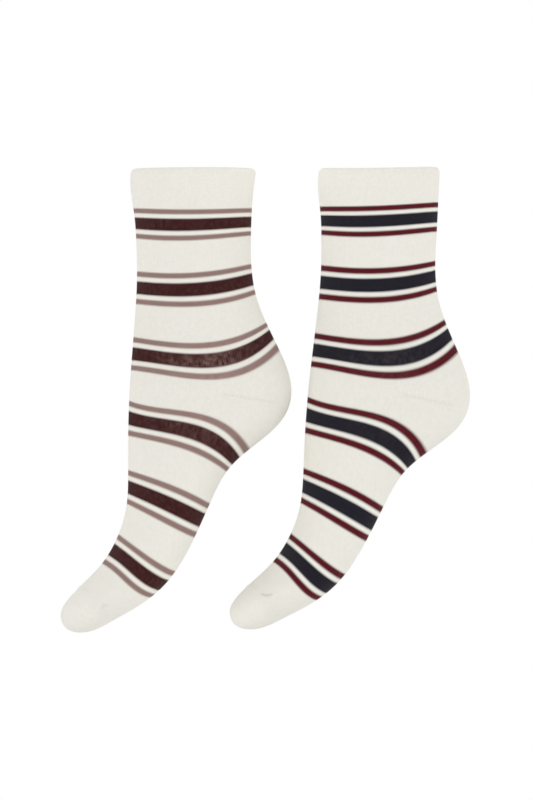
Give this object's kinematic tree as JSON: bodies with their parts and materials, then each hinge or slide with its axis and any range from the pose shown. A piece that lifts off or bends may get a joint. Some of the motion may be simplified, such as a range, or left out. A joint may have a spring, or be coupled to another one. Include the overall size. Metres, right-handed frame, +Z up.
{
  "type": "pair of socks",
  "caption": "Pair of short knitted socks, filled out as on a foot and open at the leg, cream with groups of stripes, brown on one sock and navy and burgundy on the other.",
  "frame": {"origin": "centre of the brown-striped sock's leg opening, where a leg or a sock form holds it", "axes": "+Z up the leg and out of the opening, +X from the toes to the heel, +Y across the sock, away from the side that is seen"},
  "size_m": [0.3027, 0.0836, 0.3441],
  "materials": {
    "brown_striped_knit": "matt fine cotton knit, cream with dark brown and mauve stripes",
    "navy_striped_knit": "matt fine cotton knit, cream with dark navy and burgundy stripes"
  },
  "bodies": {
    "root": {"brown_striped_sock": "brown_striped_knit", "navy_striped_sock": "navy_striped_knit"}
  },
  "joints": []
}
